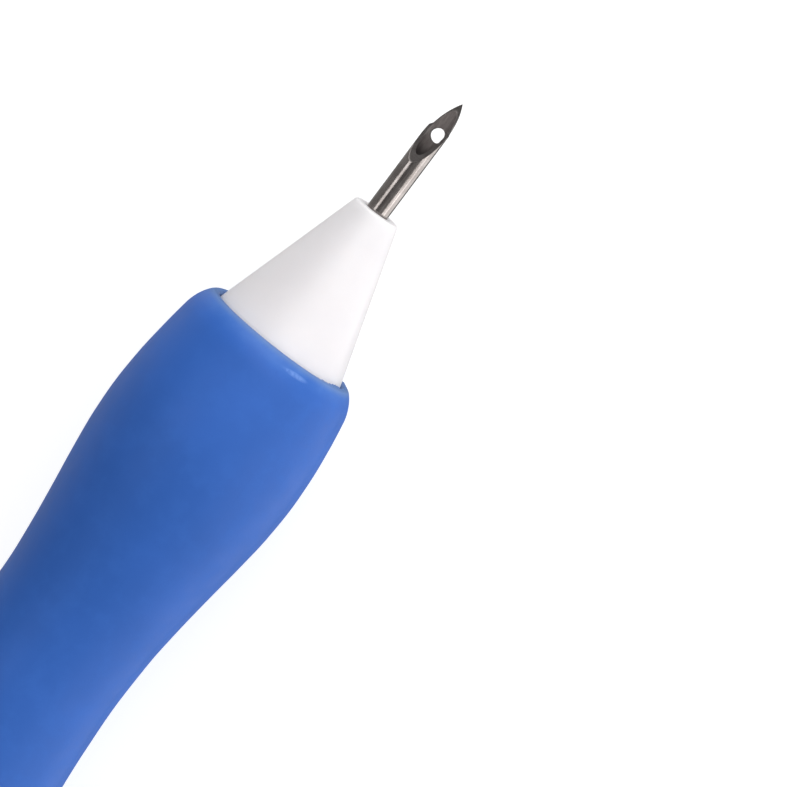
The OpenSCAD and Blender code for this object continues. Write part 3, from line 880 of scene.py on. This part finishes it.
notches = [rod(f"notch{i}", i * math.radians(30), -80.3, 0.75, 5.2, 7.9) for i in range(12)]
with bpy.context.temp_override(active_object=notches[0], object=notches[0], selected_objects=notches, selected_editable_objects=notches):
    bpy.ops.object.join()
boolean(dial, notches[0])
seam(dial, 34)
dress(dial, "dial", "white_plastic", WHITE)
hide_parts("depth_dial")


# ------------------------------------------------------------------ numerals on the dial
def numeral(value):
    curve = bpy.data.curves.new(f"n{value}", "FONT")
    curve.body = str(value)
    curve.size = 3.5
    curve.align_x = "CENTER"
    curve.align_y = "CENTER"
    curve.resolution_u = 6
    curve.offset = 0.035
    if len(str(value)) == 2:
        curve.space_character = 0.92
    flat = bpy.data.objects.new(f"numeral_{value:02d}", curve)
    bpy.context.scene.collection.objects.link(flat)
    dg = bpy.context.evaluated_depsgraph_get()
    mesh = bpy.data.meshes.new_from_object(flat.evaluated_get(dg), depsgraph=dg)
    bpy.data.objects.remove(flat)
    bm = bmesh.new()
    bm.from_mesh(mesh)
    bmesh.ops.remove_doubles(bm, verts=bm.verts, dist=1e-5)
    for _ in range(5):
        long = [e for e in bm.edges if e.calc_length() > 0.35]
        if not long:
            break
        bmesh.ops.subdivide_edges(bm, edges=long, cuts=1)
        bmesh.ops.triangulate(bm, faces=bm.faces)
    up = [f for f in bm.faces]
    grown = bmesh.ops.extrude_face_region(bm, geom=up)
    raised = {v for v in grown["geom"] if isinstance(v, bmesh.types.BMVert)}
    xs = [v.co.x for v in bm.verts]
    ys = [v.co.y for v in bm.verts]
    cx, cy = (min(xs) + max(xs)) / 2, (min(ys) + max(ys)) / 2
    squeeze = min(1.0, 3.3 / max(1e-6, max(xs) - min(xs)))
    for v in bm.verts:
        u, t = (v.co.x - cx) * squeeze, v.co.y - cy
        r = BAND + (0.035 if v in raised else -0.02)
        # the digits' feet point to the needle, so they are read with the tail up
        a = -math.radians(30) * (value - 9) - u / BAND
        v.co = Vector(pt(-84.05 - t, r, a))
    bmesh.ops.recalc_face_normals(bm, faces=bm.faces)
    bm.to_mesh(mesh)
    bm.free()
    obj = bpy.data.objects.new(f"numeral_{value:02d}", mesh)
    bpy.context.scene.collection.objects.link(obj)
    mesh.shade_smooth()
    mesh.set_sharp_from_angle(angle=math.radians(40))
    dress(obj, "dial", "white_plastic", INK)
    return obj


for number in range(1, 13):
    numeral(number)

# ------------------------------------------------------------------ end cap and thread eyelet
points = [(-98.85, 5.05), (-98.85, 8.3)]
points += arc(-102.5, 4.2, -4.5, 4.1, 0, 84, 14)
points += [(-107.0, 3.9), (-107.0, 2.65), (-103.6, 2.65), (-103.6, 5.05)]
cap = lathe("end_cap_moulding", spread(fillet(points, 0.1, {1: 0.2, len(points) - 4: 0.5, len(points) - 3: 0.25}, 4), 0.9), 160, None, 34)
dress(cap, "barrel", "white_plastic", WHITE)
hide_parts("end_cap")

TB = -113.5
points = [(TB + 3.9, 1.5), (TB + 3.9, 1.87), (TB - 0.02, 1.87), (TB - 0.02, 2.3)]
points += arc(TB - 0.26, 2.28, -0.24, 0.24, -80, 80, 12)[1:]
points += [(TB - 0.5, 1.98)] + arc(TB - 0.05, 1.95, -0.45, -0.45, 90, 0, 8)[1:]
eyelet = lathe("thread_eyelet_flare", spread(points, 0.5), 96, None, 50)
dress(eyelet, "carrier", "plated_metal", PLATE)
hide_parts("thread_eyelet")


# ------------------------------------------------------------------ return spring
def coil():
    wire, mean, turns, per, sides = 0.5, 3.35, 9, 36, 12
    front, length = -62.05, 20.95
    pitch = wire * 1.05
    active = length - wire - 2 * pitch
    verts, faces = [], []
    n = turns * per
    for i in range(n + 1):
        t = i / per
        z = t * pitch if t < 1 else pitch + active + (t - turns + 1) * pitch if t > turns - 1 else pitch + active * (t - 1) / (turns - 2)
        for k in range(sides):
            b = TAU * k / sides
            verts.append(pt(front - wire / 2 - z - wire / 2 * math.sin(b), mean + wire / 2 * math.cos(b), TAU * t))
    for i in range(n):
        for k in range(sides):
            h = (k + 1) % sides
            faces.append((i * sides + k, (i + 1) * sides + k, (i + 1) * sides + h, i * sides + h))
    faces.append(tuple(range(sides)))
    faces.append(tuple(reversed(range(n * sides, n * sides + sides))))
    return finish_mesh("return_spring_coil", verts, faces, 50)


spring = coil()
spring.data.materials.append(SPRING)
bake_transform(spring)
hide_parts("return_spring")

# ------------------------------------------------------------------ CAD nodes that stay, with their materials
for node, mats in {
    "front_barrel": (WHITE,),
    "needle_carrier": (NATURAL,),
    "slide_block": (NATURAL,),
    "follower_pin": (SPRING,),
    "click_spring": (SPRING,),
}.items():
    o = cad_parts[node]
    o.data.materials.clear()
    for m in mats:
        o.data.materials.append(m)

# ------------------------------------------------------------------ camera
tilt, roll = math.radians(8.0), math.radians(17.0)
d = Vector((math.sin(tilt), -math.cos(tilt) * math.sin(roll), math.cos(tilt) * math.cos(roll)))
ex = Vector((1, 0, 0))
e = (ex - d * ex.dot(d)).normalized()
n = e.cross(d).normalized()
lean = math.radians(53.02)
right = (math.cos(lean) * e + math.sin(lean) * n).normalized()
up = (math.sin(lean) * e - math.cos(lean) * n).normalized()
PX = 0.0898 * MM
tip = Vector((X0 + TIP * MM, 0, ZC - NR * MM))
target = tip - right * (462.8 - 393.5) * PX - up * (393.5 - 104.1) * PX
distance = 0.5
camera_data = bpy.data.cameras.new("camera")
camera_data.sensor_width = 36
camera_data.lens = 36 * distance / (787 * PX)
camera_data.clip_start = 0.01
camera_data.clip_end = 20
camera = bpy.data.objects.new("camera", camera_data)
bpy.context.scene.collection.objects.link(camera)
basis = Matrix((right, up, d)).transposed().to_4x4()
camera.matrix_world = Matrix.Translation(target + d * distance) @ basis
bpy.context.scene.camera = camera


# ------------------------------------------------------------------ floor, lights, world
def make_floor():
    mesh = bpy.data.meshes.new("floor")
    size = 3.0
    mesh.from_pydata([(-size, -size, 0), (size, -size, 0), (size, size, 0), (-size, size, 0)], [], [(0, 1, 2, 3)])
    floor = bpy.data.objects.new("floor", mesh)
    bpy.context.scene.collection.objects.link(floor)
    m = Mat("pale_floor", IOR=1.4)
    m.p.inputs["Roughness"].default_value = 0.8
    m.p.inputs["Specular IOR Level"].default_value = 0.1
    m.color(m.mix(m.ramp(m.noise(0.02, 2, 0.5), 0.3, 0.7), (0.38, 0.38, 0.38), (0.41, 0.41, 0.41)))
    m.p.inputs["Emission Color"].default_value = (1, 1, 1, 1)
    m.p.inputs["Emission Strength"].default_value = 0.80
    floor.data.materials.append(m.mat)
    floor.visible_glossy = False
    return floor


make_floor()
middle = Vector((X0, 0, ZC))


def area(name, direction, distance, size_x, size_y, power, color=(1, 1, 1), long_axis=None):
    data = bpy.data.lights.new(name, "AREA")
    data.shape = "RECTANGLE"
    data.size, data.size_y = size_x, size_y
    data.energy = power
    data.color = color
    obj = bpy.data.objects.new(name, data)
    bpy.context.scene.collection.objects.link(obj)
    back = Vector(direction).normalized()
    x = Vector(long_axis) if long_axis else Vector((1, 0, 0))
    x = (x - back * x.dot(back)).normalized()
    y = back.cross(x).normalized()
    obj.matrix_world = Matrix.Translation(middle + back * distance) @ Matrix((x, y, back)).transposed().to_4x4()
    return obj


def radiance(value, size_x, size_y):
    """Power of a lamp of that size and brightness."""
    return value * math.pi * size_x * size_y


area("key", (-0.14, -0.97, 0.155), 0.50, 0.10, 0.30, radiance(3.2, 0.10, 0.30), (1.0, 0.99, 0.98))
area("strip", (-0.12, 0.31, 0.94), 0.60, 0.15, 0.25, radiance(3.2, 0.15, 0.25))
area("back", (0.95, 0.10, 0.40), 0.60, 0.60, 0.60, radiance(1.85, 0.60, 0.60))
area("front", (0.70, -0.22, 0.68), 0.60, 0.50, 0.50, radiance(0.68, 0.50, 0.50))
area("side", (0.48, -0.66, 0.57), 0.60, 0.45, 0.40, radiance(0.94, 0.45, 0.40))
area("left", (-0.139, 0.839, 0.525), 0.60, 0.12, 0.42, radiance(0.50, 0.12, 0.42))
area("top", (0.45, -0.35, 0.82), 0.70, 0.40, 0.40, radiance(1.00, 0.40, 0.40))


def make_world():
    """A soft grey room, lighter on the key's side, with a white card low on that side that only reflections see past the floor."""
    world = bpy.data.worlds.new("studio")
    bpy.context.scene.world = world
    world.use_nodes = True
    t = world.node_tree
    t.nodes.clear()
    out = t.nodes.new("ShaderNodeOutputWorld")
    soft = t.nodes.new("ShaderNodeBackground")
    seen = t.nodes.new("ShaderNodeBackground")
    seen.inputs[0].default_value = (0.95, 0.95, 0.95, 1)
    coords = t.nodes.new("ShaderNodeTexCoord")

    def lobe(direction, lo, hi, to0, to1):
        dot = t.nodes.new("ShaderNodeVectorMath")
        dot.operation = "DOT_PRODUCT"
        dot.inputs[1].default_value = Vector(direction).normalized()
        t.links.new(coords.outputs["Generated"], dot.inputs[0])
        rng = t.nodes.new("ShaderNodeMapRange")
        rng.interpolation_type = "SMOOTHSTEP"
        for k, v in (("From Min", lo), ("From Max", hi), ("To Min", to0), ("To Max", to1)):
            rng.inputs[k].default_value = v
        t.links.new(dot.outputs["Value"], rng.inputs["Value"])
        return rng.outputs[0]

    add = t.nodes.new("ShaderNodeMath")
    add.operation = "ADD"
    t.links.new(lobe((0.05, -1.0, 0.0), -0.6, 1.0, 0.12, 0.60), add.inputs[0])
    t.links.new(lobe((0.0, -0.88, -0.47), 0.80, 0.93, 0.0, 2.6), add.inputs[1])
    more = t.nodes.new("ShaderNodeMath")
    more.operation = "ADD"
    t.links.new(add.outputs[0], more.inputs[0])
    t.links.new(lobe((0.0, 0.94, -0.34), 0.72, 0.95, 0.0, 0.55), more.inputs[1])
    t.links.new(more.outputs[0], soft.inputs["Strength"])
    path = t.nodes.new("ShaderNodeLightPath")
    mix = t.nodes.new("ShaderNodeMixShader")
    t.links.new(path.outputs["Is Camera Ray"], mix.inputs[0])
    t.links.new(soft.outputs[0], mix.inputs[1])
    t.links.new(seen.outputs[0], mix.inputs[2])
    t.links.new(mix.outputs[0], out.inputs[0])


make_world()
bpy.context.scene.view_settings.view_transform = "Standard"
bpy.context.scene.view_settings.look = "None"
bpy.context.scene.view_settings.exposure = 0.0
bpy.context.scene.view_settings.gamma = 1.0
